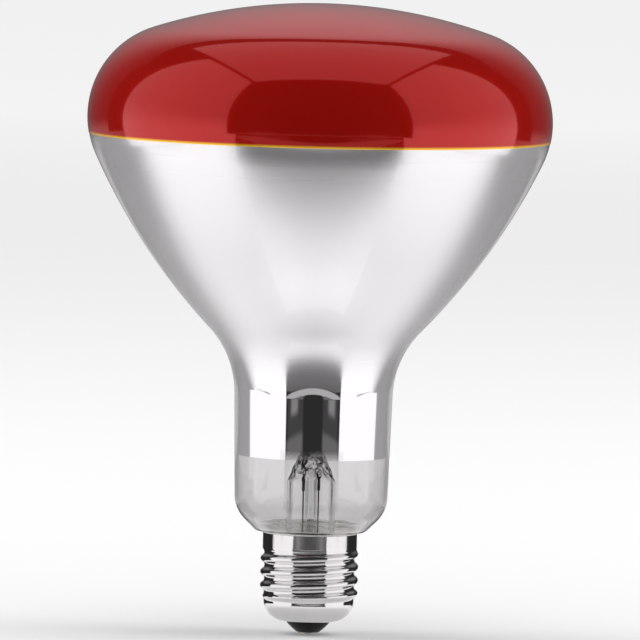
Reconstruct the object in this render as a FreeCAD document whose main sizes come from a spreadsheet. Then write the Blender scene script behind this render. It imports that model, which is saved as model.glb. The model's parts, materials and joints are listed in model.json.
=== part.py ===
# Infrared heat lamp bulb: a blown envelope with a silvered flank and a red dome, the glass stem
# with its leads and filament inside, and a rolled screw cap.
# Millimetres. Z is the lamp's axis, Z 0 is the tip of the centre contact, and the dome looks up.
# The left and right leads stand in one upright plane, turned about the axis by press_angle.
import FreeCAD, Part

import math
import os
from types import SimpleNamespace

import Sketcher

SIZES = {
    # Glass envelope. The throat's two shares are of the height from the cap's rim to the widest ring
    "overall_length": 170.0,
    "bulb_radius": 62.5,
    "glass_wall": 1.0,
    "dome_rise": 31.2,
    "shoulder_radius": 25.0,
    "flank_radius": 171.0,
    "throat_radius_share": 0.2336,
    "throat_height_share": 0.3315,
    "neck_radius": 21.3,
    "neck_taper": 1.5,
    "corner_radius": 9.0,
    "corner_height": 10.0,
    "corner_slope": 45.0,
    "under_neck_radius": 1.6,
    "skirt_radius": 11.0,
    "skirt_length": 9.0,
    "skirt_fillet": 0.8,
    # Coatings
    "red_thickness": 0.1,
    "red_edge_drop": 4.8,
    "mirror_thickness": 0.1,
    "mirror_edge_drop": 3.8,
    "clear_neck_height": 21.0,
    # Stem and exhaust tube
    "stem_radius": 6.5,
    "stem_wall": 1.0,
    "stem_length": 22.5,
    "press_angle": 38.0,
    "press_foot_rise": 3.0,
    "press_taper": 7.0,
    "press_height": 2.4,
    "press_width": 7.6,
    "press_thickness": 3.2,
    "press_slot_width": 8.4,
    "press_slot_thickness": 1.6,
    "exhaust_radius": 1.5,
    "exhaust_wall": 0.55,
    "exhaust_tip_drop": 1.2,
    "exhaust_seat_depth": 0.8,
    "exhaust_port_radius": 0.6,
    # Wires
    "lead_spread": 2.6,
    "seal_wire_radius": 0.42,
    "seal_wire_tail": 2.7,
    "seal_wire_depth": 2.5,
    "inner_lead_radius": 0.4,
    "inner_lead_rise": 9.0,
    "inner_lead_bend": 4.0,
    "inner_lead_overshoot": 0.9,
    "outer_lead_radius": 0.2,
    "outer_lead_bend": 1.2,
    "centre_lead_foot": 1.95,
    "centre_lead_slant": 45.0,
    "side_lead_drop": 3.2,
    "side_lead_gap": 0.2,
    "rim_bend": 0.4,
    # Filament and its supports
    "rod_radius": 1.5,
    "rod_length": 26.0,
    "button_radius": 2.6,
    "button_height": 3.2,
    "button_rounding": 1.0,
    "filament_rise": 34.1,
    "filament_ring_radius": 12.0,
    "filament_coil_radius": 0.6,
    "filament_opening": 90.0,
    "filament_end_gap": 0.2,
    "support_wire_radius": 0.16,
    "support_seat": 1.4,
    "support_bend": 2.0,
    "support_straight": 1.4,
    # Cap
    "rim_height": 27.5,
    "rim_gap": 0.5,
    "collar_radius": 12.7,
    "collar_height": 3.6,
    "sheet_thickness": 0.25,
    "thread_crest_radius": 13.2,
    "thread_root_radius": 12.13,
    "thread_pitch": 3.629,
    "thread_runout": 2.4,
    "thread_angle": 47.0,
    "bowl_radius": 5.5,
    "lip_radius": 6.2,
    "lip_height": 3.75,
    "insulator_depth": 2.6,
    "insulator_dome": 14.0,
    "insulator_face_radius": 3.1,
    "contact_radius": 2.7,
    "contact_thickness": 0.4,
    "rivet_radius": 0.85,
    "rivet_wall": 0.25,
    "rivet_head_radius": 1.5,
    "solder_tip_radius": 1.2,
    "solder_foot_radius": 1.9,
    "solder_height": 0.35,
    "solder_depth": 0.6,
    "cement_depth": 3.3,
    "side_solder_radius": 1.8,
    "side_solder_bulge": 1.15,
    "side_solder_drop": 1.9,
    # Running gap between pieces that only lie beside each other
    "clearance": 0.05,
}
SUPPORT_WIRES = 5

# Grid of the rolled shell: samples round the axis and down one pitch of its thread
SAMPLES_PER_TURN = 24
SAMPLES_PER_PITCH = 10

# Ways an arc turns, and the numbers a sketch gives to its axes and to a shape's points
LEFT_TURN, RIGHT_TURN = 1, -1
X_AXIS_INDEX, Y_AXIS_INDEX = -1, -2
START_INDEX, END_INDEX, CENTRE_INDEX = 1, 2, 3
UP = FreeCAD.Vector(0, 0, 1)


class Size:
    """A number from the sheet, or one worked out from it, with the expression that follows it."""

    def __init__(self, number, text):
        self.number = number
        self.text = text

    def __float__(self):
        return self.number

    def __neg__(self):
        return Size(-self.number, f"-({self.text})")

    def __add__(self, other):
        other = as_size(other)
        return Size(self.number + other.number, f"({self.text} + {other.text})")

    def __sub__(self, other):
        other = as_size(other)
        return Size(self.number - other.number, f"({self.text} - {other.text})")

    def __rsub__(self, other):
        return as_size(other) - self

    def __mul__(self, other):
        other = as_size(other)
        return Size(self.number * other.number, f"({self.text} * {other.text})")

    def __truediv__(self, other):
        other = as_size(other)
        return Size(self.number / other.number, f"({self.text} / {other.text})")

    __radd__ = __add__
    __rmul__ = __mul__


def as_size(value):
    if isinstance(value, Size):
        return value
    return Size(float(value), str(float(value)))


def root(value):
    return Size(math.sqrt(value.number), f"sqrt({value.text})")


def cosine(degrees):
    return Size(math.cos(math.radians(degrees.number)), f"cos({degrees.text} * 1 deg)")


def sine(degrees):
    return Size(math.sin(math.radians(degrees.number)), f"sin({degrees.text} * 1 deg)")


def make_sheet(document):
    """Write the driving sizes into a sheet and give them back as Sizes."""
    sheet = document.addObject("Spreadsheet::Sheet", "Sizes")
    for row, (alias, number) in enumerate(SIZES.items(), start=1):
        sheet.set(f"A{row}", alias.replace("_", " "))
        sheet.set(f"B{row}", str(number))
        sheet.setAlias(f"B{row}", alias)
    document.recompute()
    return SimpleNamespace(
        **{alias: Size(float(sheet.get(alias)), f"Sizes.{alias}") for alias in SIZES}
    )


doc = FreeCAD.newDocument("heat_lamp_bulb")
s = make_sheet(doc)

# Places on the axis, from the contact's tip up
insulator_face = s.solder_height + s.contact_thickness
insulator_top = s.lip_height + s.insulator_depth
bowl_centre_x = s.thread_root_radius - s.bowl_radius
bowl_centre_z = s.lip_height + root(
    s.bowl_radius * s.bowl_radius
    - (bowl_centre_x - s.lip_radius) * (bowl_centre_x - s.lip_radius)
)
collar_foot = s.rim_height - s.collar_height
seat_height = s.rim_height + s.rim_gap
skirt_foot = seat_height - s.skirt_length
press_root = skirt_foot + s.stem_length
press_foot = press_root + s.press_foot_rise
press_neck = press_root + s.press_taper
press_top = press_neck + s.press_height
seal_wire_foot = press_root - s.seal_wire_tail
seal_wire_top = press_foot + s.seal_wire_depth
exhaust_tip = skirt_foot - s.stem_wall - s.exhaust_tip_drop
exhaust_top = press_foot + s.exhaust_seat_depth
exhaust_bore = s.exhaust_radius - s.exhaust_wall
button_foot = press_top + s.rod_length
support_height = button_foot + s.button_height / 2
filament_height = press_top + s.filament_rise
glass_radius = s.bulb_radius - s.red_thickness
glass_top = s.overall_length - s.red_thickness
equator = s.overall_length - s.dome_rise
throat_radius = s.throat_radius_share * (equator - s.rim_height)
throat_height = s.throat_height_share * (equator - s.rim_height)
red_edge = equator - s.red_edge_drop
mirror_top = equator - s.mirror_edge_drop
mirror_foot = s.rim_height + s.clear_neck_height

# Places of the leads and the filament's ends beside the axis
side_lead_radius = s.skirt_radius + s.outer_lead_radius + s.side_lead_gap
filament_end_angle = 90 - s.filament_opening / 2


def bind(item, name, size, unit=""):
    """Tie a property to the sheet."""
    item.setExpression(name, f"({size.text}){unit}")


def new_body(label):
    body = doc.addObject("PartDesign::Body", label + "_body")
    body.Label = label
    return body


def origin_part(body, role):
    """One of the body's own planes or axes."""
    return next(item for item in body.Origin.OriginFeatures if item.Role == role)


def new_sketch(body, name, plane, lift=None):
    """A sketch on one of the body's own planes, lifted off it along its normal."""
    sketch = body.newObject("Sketcher::SketchObject", name)
    sketch.AttachmentSupport = [(origin_part(body, plane), "")]
    sketch.MapMode = "FlatFace"
    if lift is not None:
        bind(sketch, "AttachmentOffset.Base.z", lift)
    return sketch


class Drawing:
    """Lines and arcs drawn end to end in an upright sketch, x outwards and y up.

    A coordinate that is a Size is held to the sheet, and None is one held on the axis. A plain
    number is only where the solver starts: there a smooth joint or a radius settles the place.
    """

    def __init__(self, body, name, start, plane="XZ_Plane"):
        self.sketch = new_sketch(body, name, plane)
        self.start = start
        self.here = start
        self.shapes = []
        self.rules = []
        self.ties = []
        self.first = None
        self.last = None

    def rule(self, *arguments, size=None, unit=""):
        if size is not None:
            self.ties.append((len(self.rules), size, unit))
        self.rules.append(Sketcher.Constraint(*arguments))

    def hold(self, shape, point, place):
        for kind, axis, value in zip(("DistanceX", "DistanceY"), (Y_AXIS_INDEX, X_AXIS_INDEX), place):
            if value is None:
                self.rule("PointOnObject", shape, point, axis)
            elif isinstance(value, Size) and value.number < 0:
                ends = (shape, point, X_AXIS_INDEX, START_INDEX)
                self.rule(kind, *ends, -value.number, size=-value)
            elif isinstance(value, Size):
                ends = (X_AXIS_INDEX, START_INDEX, shape, point)
                self.rule(kind, *ends, value.number, size=value)

    def join(self, shape, begin, finish, smooth):
        if self.last is None:
            self.first = (shape, begin)
            self.hold(shape, begin, self.start)
        else:
            self.rule("Tangent" if smooth else "Coincident", *self.last, shape, begin)
        self.last = (shape, finish)

    def line(self, end, smooth=False, angle=None):
        shape = len(self.shapes)
        self.shapes.append(Part.LineSegment(spot(self.here), spot(end)))
        self.join(shape, START_INDEX, END_INDEX, smooth)
        self.hold(shape, END_INDEX, end)
        if angle is not None:
            self.rule("Angle", shape, math.radians(angle.number), size=angle, unit=" * 1 deg")
        self.here = end
        return self

    def arc(self, end, centre, radius, turn, smooth=True):
        shape = len(self.shapes)
        middle = spot(centre)
        begin_angle = direction(spot(self.here) - middle)
        end_angle = direction(spot(end) - middle)
        circle = Part.Circle(middle, UP, radius.number)
        if turn == LEFT_TURN:
            self.shapes.append(Part.ArcOfCircle(circle, begin_angle, end_angle))
            self.join(shape, START_INDEX, END_INDEX, smooth)
            self.hold(shape, END_INDEX, end)
        else:
            self.shapes.append(Part.ArcOfCircle(circle, end_angle, begin_angle))
            self.join(shape, END_INDEX, START_INDEX, smooth)
            self.hold(shape, START_INDEX, end)
        self.hold(shape, CENTRE_INDEX, centre)
        self.rule("Radius", shape, radius.number, size=radius)
        self.here = end
        return self

    def close(self):
        """Draw the last line back to the start."""
        shape = len(self.shapes)
        self.shapes.append(Part.LineSegment(spot(self.here), spot(self.start)))
        self.join(shape, START_INDEX, END_INDEX, False)
        self.rule("Coincident", shape, END_INDEX, *self.first)
        return self.finish()

    def finish(self):
        self.sketch.addGeometry(self.shapes, False)
        self.sketch.addConstraint(self.rules)
        for index, size, unit in self.ties:
            bind(self.sketch, f"Constraints[{index}]", size, unit)
        return self.sketch


def spot(place):
    return FreeCAD.Vector(*[0.0 if value is None else float(value) for value in place], 0)


def direction(vector):
    return math.atan2(vector.y, vector.x)


def heading(angle):
    return FreeCAD.Vector(math.cos(angle), math.sin(angle), 0)


def revolve(body, sketch, cut=False):
    """Turn a closed sketch about the axis, as a solid or out of one."""
    kind = "Groove" if cut else "Revolution"
    feature = body.newObject(f"PartDesign::{kind}", sketch.Name + kind)
    feature.Profile = sketch
    feature.ReferenceAxis = (sketch, ["V_Axis"])
    feature.Angle = 360
    return feature


def circle_sketch(body, name, plane, lift, circles):
    """Circles on a plane: each is (x, y, radius), and None is a coordinate on an axis."""
    sketch = new_sketch(body, name, plane, lift)
    for shape, (x, y, radius) in enumerate(circles):
        middle = spot((x, y))
        sketch.addGeometry(Part.Circle(middle, UP, radius.number), False)
        for kind, axis, value in (("DistanceX", Y_AXIS_INDEX, x), ("DistanceY", X_AXIS_INDEX, y)):
            if value is None:
                sketch.addConstraint(
                    Sketcher.Constraint("PointOnObject", shape, CENTRE_INDEX, axis)
                )
            else:
                ends = (X_AXIS_INDEX, START_INDEX, shape, CENTRE_INDEX)
                if value.number < 0:
                    ends = ends[2:] + ends[:2]
                    value = -value
                rule = sketch.addConstraint(Sketcher.Constraint(kind, *ends, value.number))
                bind(sketch, f"Constraints[{rule}]", value)
        rule = sketch.addConstraint(Sketcher.Constraint("Radius", shape, radius.number))
        bind(sketch, f"Constraints[{rule}]", radius)
    return sketch


def pocket(body, sketch, depth, reversed_way):
    feature = body.newObject("PartDesign::Pocket", sketch.Name + "Pocket")
    feature.Profile = sketch
    feature.Reversed = reversed_way
    bind(feature, "Length", depth)
    return feature


def turn_about_axis(item, degrees):
    item.Placement = FreeCAD.Placement(FreeCAD.Vector(), FreeCAD.Rotation(UP, degrees.number))
    bind(item, "Placement.Rotation.Angle", degrees, " * 1 deg")


def bulb_centres():
    """Centres of the arcs that make the bulb's outline. Every inset of it shares them."""
    vector = FreeCAD.Vector
    shoulder = vector(glass_radius.number - float(s.shoulder_radius), equator.number, 0)
    throat = vector(
        float(s.neck_radius) + float(throat_radius),
        float(s.rim_height) + float(throat_height),
        0,
    )
    rise = glass_top.number - shoulder.y
    dome_radius = (shoulder.x**2 + rise**2 - float(s.shoulder_radius) ** 2) / (
        2 * (rise - float(s.shoulder_radius))
    )
    dome = vector(0, glass_top.number - dome_radius, 0)

    to_shoulder = float(s.flank_radius) - float(s.shoulder_radius)
    to_throat = float(s.flank_radius) + float(throat_radius)
    across = throat - shoulder
    span = across.Length
    along = (to_shoulder**2 - to_throat**2 + span**2) / (2 * span)
    aside = math.sqrt(to_shoulder**2 - along**2)
    unit = across / span
    flank = shoulder + unit * along + vector(unit.y, -unit.x, 0) * aside

    neck_normal = heading(-math.radians(float(s.neck_taper)))
    corner_y = float(s.rim_height) + float(s.corner_height)
    reach = throat.dot(neck_normal) - float(throat_radius) - float(s.corner_radius)
    corner = vector((reach - corner_y * neck_normal.y) / neck_normal.x, corner_y, 0)

    slope_normal = heading(math.radians(float(s.corner_slope) - 90))
    under_y = seat_height.number + float(s.under_neck_radius)
    reach = corner.dot(slope_normal) + float(s.corner_radius) - float(s.under_neck_radius)
    under = vector((reach - under_y * slope_normal.y) / slope_normal.x, under_y, 0)
    return SimpleNamespace(
        shoulder=shoulder,
        throat=throat,
        dome=dome,
        dome_radius=dome_radius,
        flank=flank,
        corner=corner,
        under=under,
        neck_normal=neck_normal,
        slope_normal=slope_normal,
    )


def bulb_joints(centres, inset):
    """Where the lines and arcs of the bulb meet, on the face that lies inset inside the glass."""
    gap = inset.number
    flank_to_throat = (centres.throat - centres.flank).normalize()
    flank_to_shoulder = (centres.shoulder - centres.flank).normalize()
    dome_to_shoulder = (centres.shoulder - centres.dome).normalize()
    slope_normal = centres.slope_normal
    neck_normal = centres.neck_normal
    return SimpleNamespace(
        under_start=centres.under - FreeCAD.Vector(0, float(s.under_neck_radius) - gap, 0),
        under_end=centres.under + slope_normal * (float(s.under_neck_radius) - gap),
        corner_start=centres.corner + slope_normal * (float(s.corner_radius) - gap),
        corner_end=centres.corner + neck_normal * (float(s.corner_radius) - gap),
        neck_end=centres.throat - neck_normal * (float(throat_radius) + gap),
        throat_end=centres.flank + flank_to_throat * (float(s.flank_radius) - gap),
        flank_end=centres.flank + flank_to_shoulder * (float(s.flank_radius) - gap),
        shoulder_end=centres.dome + dome_to_shoulder * (centres.dome_radius - gap),
    )


def xy(vector):
    return (vector.x, vector.y)


def draw_skirt(drawing, centres, joints, inset):
    """Up the skirt in the cap, out under the neck and round its corner to the neck's side."""
    fillet_y = seat_height - s.skirt_fillet
    fillet_x = s.skirt_radius + s.skirt_fillet
    drawing.line((s.skirt_radius - inset, fillet_y.number))
    drawing.arc(
        (fillet_x.number, seat_height + inset),
        (fillet_x.number, fillet_y.number),
        s.skirt_fillet + inset,
        RIGHT_TURN,
    )
    drawing.line((joints.under_start.x, seat_height + inset), smooth=True)
    drawing.arc(
        xy(joints.under_end), xy(centres.under), s.under_neck_radius - inset, LEFT_TURN
    )
    drawing.line(xy(joints.corner_start), smooth=True, angle=s.corner_slope)
    drawing.arc(
        xy(joints.corner_end),
        (centres.corner.x, s.rim_height + s.corner_height),
        s.corner_radius - inset,
        LEFT_TURN,
    )


def draw_neck_and_flank(drawing, joints, centres, inset, smooth):
    """Up the neck, through the throat and out along the flank."""
    drawing.line(xy(joints.neck_end), smooth=smooth, angle=90 - s.neck_taper)
    drawing.arc(
        xy(joints.throat_end),
        (s.neck_radius + throat_radius, s.rim_height + throat_height),
        throat_radius + inset,
        RIGHT_TURN,
    )
    drawing.arc(xy(joints.flank_end), xy(centres.flank), s.flank_radius - inset, LEFT_TURN)


def draw_shoulder(drawing, end, inset, smooth):
    middle = (glass_radius - s.shoulder_radius, equator)
    drawing.arc(end, middle, s.shoulder_radius - inset, LEFT_TURN, smooth)


def draw_dome(drawing, centres, inset):
    """Over the dome to the axis, where its top lies inset below the glass."""
    shape = len(drawing.shapes)
    middle = spot(xy(centres.dome))
    circle = Part.Circle(middle, UP, centres.dome_radius - inset.number)
    begin_angle = direction(spot(drawing.here) - middle)
    drawing.shapes.append(Part.ArcOfCircle(circle, begin_angle, math.pi / 2))
    drawing.join(shape, START_INDEX, END_INDEX, True)
    drawing.hold(shape, END_INDEX, (None, glass_top - inset))
    drawing.rule("PointOnObject", shape, CENTRE_INDEX, Y_AXIS_INDEX)
    drawing.here = (None, glass_top - inset)


def shoulder_place(inset, height):
    """The x of the shoulder's face at a height below the widest ring."""
    radius = float(s.shoulder_radius) - inset.number
    middle = glass_radius.number - float(s.shoulder_radius)
    return middle + math.sqrt(radius**2 - (equator.number - height.number) ** 2)


def glass_envelope():
    """One blown piece: dome, shoulder, flank, throat, neck, and the skirt that the cap holds."""
    body = new_body("glass_envelope")
    centres = bulb_centres()
    for inset, foot, cut in (
        (as_size(0), skirt_foot, False),
        (s.glass_wall, skirt_foot - s.glass_wall, True),
    ):
        joints = bulb_joints(centres, inset)
        drawing = Drawing(body, "Cavity" if cut else "Outline", (None, foot))
        drawing.line((s.skirt_radius - inset, foot))
        draw_skirt(drawing, centres, joints, inset)
        draw_neck_and_flank(drawing, joints, centres, inset, smooth=True)
        draw_shoulder(drawing, xy(joints.shoulder_end), inset, smooth=True)
        draw_dome(drawing, centres, inset)
        revolve(body, drawing.close(), cut)
    return body


def reflector_coating():
    """Aluminium film on the inside of the flank, the throat and the upper neck."""
    body = new_body("reflector_coating")
    centres = bulb_centres()
    for inset, cut in ((s.glass_wall, False), (s.glass_wall + s.mirror_thickness, True)):
        joints = bulb_joints(centres, inset)
        foot_x = joints.neck_end.x - (joints.neck_end.y - mirror_foot.number) * math.tan(
            math.radians(float(s.neck_taper))
        )
        drawing = Drawing(body, "FilmInner" if cut else "FilmOuter", (None, mirror_foot))
        drawing.line((foot_x, mirror_foot))
        draw_neck_and_flank(drawing, joints, centres, inset, smooth=False)
        top_x = shoulder_place(inset, mirror_top)
        draw_shoulder(drawing, (top_x, mirror_top), inset, smooth=True)
        drawing.line((None, mirror_top))
        revolve(body, drawing.close(), cut)
    return body


def red_filter_coating():
    """Red skin over the dome and round the widest ring, down to its edge."""
    body = new_body("red_filter_coating")
    centres = bulb_centres()
    for inset, cut in ((-s.red_thickness, False), (as_size(0), True)):
        joints = bulb_joints(centres, inset)
        drawing = Drawing(body, "SkinInner" if cut else "SkinOuter", (None, red_edge))
        drawing.line((shoulder_place(inset, red_edge), red_edge))
        draw_shoulder(drawing, xy(joints.shoulder_end), inset, smooth=False)
        draw_dome(drawing, centres, inset)
        revolve(body, drawing.close(), cut)
    return body


def ellipse_sketch(body, name, lift, width, thickness):
    sketch = new_sketch(body, name, "XY_Plane", lift)
    long_end = FreeCAD.Vector(width.number / 2, 0, 0)
    short_end = FreeCAD.Vector(0, thickness.number / 2, 0)
    shape = sketch.addGeometry(Part.Ellipse(long_end, short_end, FreeCAD.Vector()), False)
    sketch.exposeInternalGeometry(shape)
    long_axis = shape + 1
    short_axis = shape + 2
    origin = (X_AXIS_INDEX, START_INDEX)
    sketch.addConstraint(Sketcher.Constraint("Coincident", shape, CENTRE_INDEX, *origin))
    sketch.addConstraint(Sketcher.Constraint("Horizontal", long_axis))
    for axis, size in ((long_axis, width), (short_axis, thickness)):
        ends = (axis, START_INDEX, axis, END_INDEX)
        rule = sketch.addConstraint(Sketcher.Constraint("Distance", *ends, size.number))
        bind(sketch, f"Constraints[{rule}]", size)
    return sketch


def loft(body, name, kind, sketches):
    feature = body.newObject(f"PartDesign::{kind}", name)
    feature.Profile = sketches[0]
    feature.Sections = sketches[1:]
    feature.Ruled = True
    return feature


def stem_tube():
    """Flare on the skirt's foot, tube, and the press pinched flat about the wires."""
    body = new_body("stem_tube")
    bore = s.stem_radius - s.stem_wall
    flare_x = s.skirt_radius - s.glass_wall
    flare_y = skirt_foot + flare_x - s.stem_radius
    flare_radius = flare_x - s.stem_radius
    drawing = Drawing(body, "Flare", (s.stem_radius, press_root))
    drawing.line((bore, press_root))
    drawing.line((bore, flare_y))
    drawing.arc(
        (flare_x, skirt_foot - s.stem_wall),
        (flare_x.number, flare_y.number),
        flare_radius + s.stem_wall,
        LEFT_TURN,
        smooth=False,
    )
    drawing.line((s.skirt_radius, skirt_foot - s.stem_wall))
    drawing.line((s.skirt_radius, skirt_foot))
    drawing.line((flare_x, skirt_foot))
    drawing.arc(
        (s.stem_radius, flare_y),
        (flare_x.number, flare_y.number),
        flare_radius,
        RIGHT_TURN,
        smooth=False,
    )
    revolve(body, drawing.close())

    tube_end = circle_sketch(
        body, "TubeEnd", "XY_Plane", press_root, [(None, None, s.stem_radius)]
    )
    pinched_end = ellipse_sketch(
        body, "PressNeck", press_neck, s.press_width, s.press_thickness
    )
    loft(body, "PressTaper", "AdditiveLoft", [tube_end, pinched_end])
    pad = body.newObject("PartDesign::Pad", "Press")
    pad.Profile = ellipse_sketch(
        body, "PressSection", press_neck, s.press_width, s.press_thickness
    )
    bind(pad, "Length", s.press_height)

    bore_end = circle_sketch(body, "BoreEnd", "XY_Plane", press_root, [(None, None, bore)])
    slot_end = ellipse_sketch(
        body,
        "SlotEnd",
        press_foot - s.stem_wall,
        s.press_slot_width,
        s.press_slot_thickness,
    )
    loft(body, "Slot", "SubtractiveLoft", [bore_end, slot_end])

    places = (-s.lead_spread, s.lead_spread)
    lower = [(x, None, s.seal_wire_radius) for x in places]
    upper = [(x, None, s.inner_lead_radius) for x in places]
    holes = circle_sketch(body, "SealHoles", "XY_Plane", seal_wire_foot, lower)
    pocket(body, holes, seal_wire_top - seal_wire_foot, True)
    holes = circle_sketch(body, "LeadHoles", "XY_Plane", seal_wire_top, upper)
    pocket(body, holes, press_top - seal_wire_top, True)
    seat = [(None, None, s.exhaust_radius)]
    holes = circle_sketch(body, "ExhaustSeat", "XY_Plane", press_root, seat)
    pocket(body, holes, exhaust_top - press_root, True)
    way_half = s.exhaust_port_radius + s.clearance
    way = [(None, None, exhaust_bore)]
    holes = circle_sketch(body, "ExhaustWay", "XY_Plane", exhaust_top, way)
    pocket(body, holes, 2 * way_half, True)
    port = [(None, exhaust_top + way_half, s.exhaust_port_radius)]
    holes = circle_sketch(body, "ExhaustPort", "XZ_Plane", None, port)
    pocket(body, holes, s.stem_radius, True)
    turn_about_axis(body, s.press_angle)
    return body


def exhaust_tube():
    """Pumping tube in the stem, drawn to a closed tip under the flare."""
    body = new_body("exhaust_tube")
    tip_end = exhaust_tip + s.exhaust_radius
    drawing = Drawing(body, "Tube", (None, exhaust_tip))
    drawing.arc(
        (s.exhaust_radius, tip_end), (0.0, tip_end.number), s.exhaust_radius, LEFT_TURN, smooth=False
    )
    drawing.line((s.exhaust_radius, exhaust_top))
    drawing.line((exhaust_bore, exhaust_top))
    drawing.line((exhaust_bore, tip_end))
    drawing.line((None, tip_end - s.exhaust_wall))
    revolve(body, drawing.close())
    return body


def support_rod():
    """Glass cane fused on the press, with a button that holds the support wires."""
    body = new_body("support_rod")
    button_top = button_foot + s.button_height
    rounding = s.button_rounding
    drawing = Drawing(body, "Cane", (None, press_top))
    drawing.line((s.rod_radius, press_top))
    drawing.line((s.rod_radius, button_foot))
    drawing.line((s.button_radius - rounding, button_foot))
    drawing.arc(
        (s.button_radius, button_foot + rounding),
        ((s.button_radius - rounding).number, (button_foot + rounding).number),
        rounding,
        LEFT_TURN,
        smooth=False,
    )
    drawing.line((s.button_radius, button_top - rounding))
    drawing.arc(
        (s.button_radius - rounding, button_top),
        ((s.button_radius - rounding).number, (button_top - rounding).number),
        rounding,
        LEFT_TURN,
        smooth=False,
    )
    drawing.line((None, button_top))
    revolve(body, drawing.close())
    hole = circle_sketch(
        body, "WireHole", "YZ_Plane", s.support_seat, [(None, support_height, s.support_wire_radius)]
    )
    drilled = pocket(body, hole, s.button_radius, True)
    pattern = body.newObject("PartDesign::PolarPattern", "WireHoles")
    pattern.Originals = [drilled]
    pattern.Axis = (origin_part(body, "Z_Axis"), [""])
    pattern.Angle = 360
    pattern.Occurrences = SUPPORT_WIRES
    body.Tip = pattern
    turn_about_axis(body, s.press_angle - 90)
    return body


def pipe(body, path, section):
    """A round wire along a path."""
    feature = body.newObject("PartDesign::AdditivePipe", "Wire")
    feature.Profile = section
    feature.Spine = path
    return feature


def straight_wire(label, x, foot, top, radius):
    """An upright wire in the plane of the leads."""
    wire = doc.addObject("Part::Cylinder", label)
    wire.Label = label
    bind(wire, "Radius", radius)
    bind(wire, "Height", top - foot)
    wire.Placement = FreeCAD.Placement(
        FreeCAD.Vector((x * cosine(s.press_angle)).number, (x * sine(s.press_angle)).number, 0),
        FreeCAD.Rotation(),
    )
    bind(wire, "Placement.Base.x", x * cosine(s.press_angle))
    bind(wire, "Placement.Base.y", x * sine(s.press_angle))
    bind(wire, "Placement.Base.z", foot)
    return wire


def tangent_point(place, middle, radius, side):
    """Where a line from a place touches a circle that lies to its left or right."""
    across = middle - place
    angle = direction(across) - side * math.asin(radius / across.Length)
    return place + heading(angle) * math.sqrt(across.Length**2 - radius**2)


def inner_lead(label, x, end_angle):
    """Nickel lead: straight up from the press, then leaning out to an end of the filament."""
    body = new_body(label)
    end_x = s.filament_ring_radius * cosine(end_angle)
    end_y = s.filament_ring_radius * sine(end_angle)
    reach = root((end_x - x) * (end_x - x) + end_y * end_y)
    lean = math.degrees(math.atan2(end_y.number, (end_x - x).number))
    bend_start = press_top + s.inner_lead_rise
    top = filament_height + s.inner_lead_overshoot
    middle = FreeCAD.Vector(s.inner_lead_bend.number, bend_start.number, 0)
    bend_end = tangent_point(
        FreeCAD.Vector(reach.number, top.number, 0), middle, s.inner_lead_bend.number, LEFT_TURN
    )
    drawing = Drawing(body, "Route", (None, seal_wire_top))
    drawing.line((None, bend_start))
    drawing.arc(xy(bend_end), xy(middle), s.inner_lead_bend, RIGHT_TURN)
    drawing.line((reach, top), smooth=True)
    section = [(None, None, s.inner_lead_radius)]
    profile = circle_sketch(body, "Section", "XY_Plane", seal_wire_top, section)
    pipe(body, drawing.finish(), profile)
    body.Placement = FreeCAD.Placement(
        FreeCAD.Vector(), FreeCAD.Rotation(UP, float(s.press_angle) + lean)
    )
    bind(body, "Placement.Base.x", x * cosine(s.press_angle))
    bind(body, "Placement.Base.y", x * sine(s.press_angle))
    turned = Size(lean, f"atan2({end_y.text}; {(end_x - x).text}) / 1 deg")
    bind(body, "Placement.Rotation.Angle", s.press_angle + turned, " * 1 deg")
    return body


def outer_lead_centre():
    """Copper lead from the left seal wire to the axis, and down the rivet's bore."""
    body = new_body("outer_lead_centre")
    bend = s.outer_lead_bend
    step = bend * (1 - cosine(s.centre_lead_slant))
    drop = bend * sine(s.centre_lead_slant)
    across = s.lead_spread - 2 * step
    slant = across * sine(s.centre_lead_slant) / cosine(s.centre_lead_slant)
    last = insulator_top + s.rivet_wall + s.centre_lead_foot
    first = last + 2 * drop + slant
    drawing = Drawing(body, "Route", (-s.lead_spread, seal_wire_foot))
    drawing.line((-s.lead_spread, first))
    drawing.arc(
        ((step - s.lead_spread).number, (first - drop).number),
        ((bend - s.lead_spread).number, first.number),
        bend,
        LEFT_TURN,
    )
    drawing.line(
        ((-step).number, (last + drop).number), smooth=True, angle=-s.centre_lead_slant
    )
    drawing.arc(
        (None, last.number),
        ((-bend).number, last.number),
        bend,
        RIGHT_TURN,
    )
    drawing.line((None, s.solder_height), smooth=True)
    section = [(-s.lead_spread, None, s.outer_lead_radius)]
    profile = circle_sketch(body, "Section", "XY_Plane", seal_wire_foot, section)
    pipe(body, drawing.finish(), profile)
    turn_about_axis(body, s.press_angle)
    return body


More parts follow.
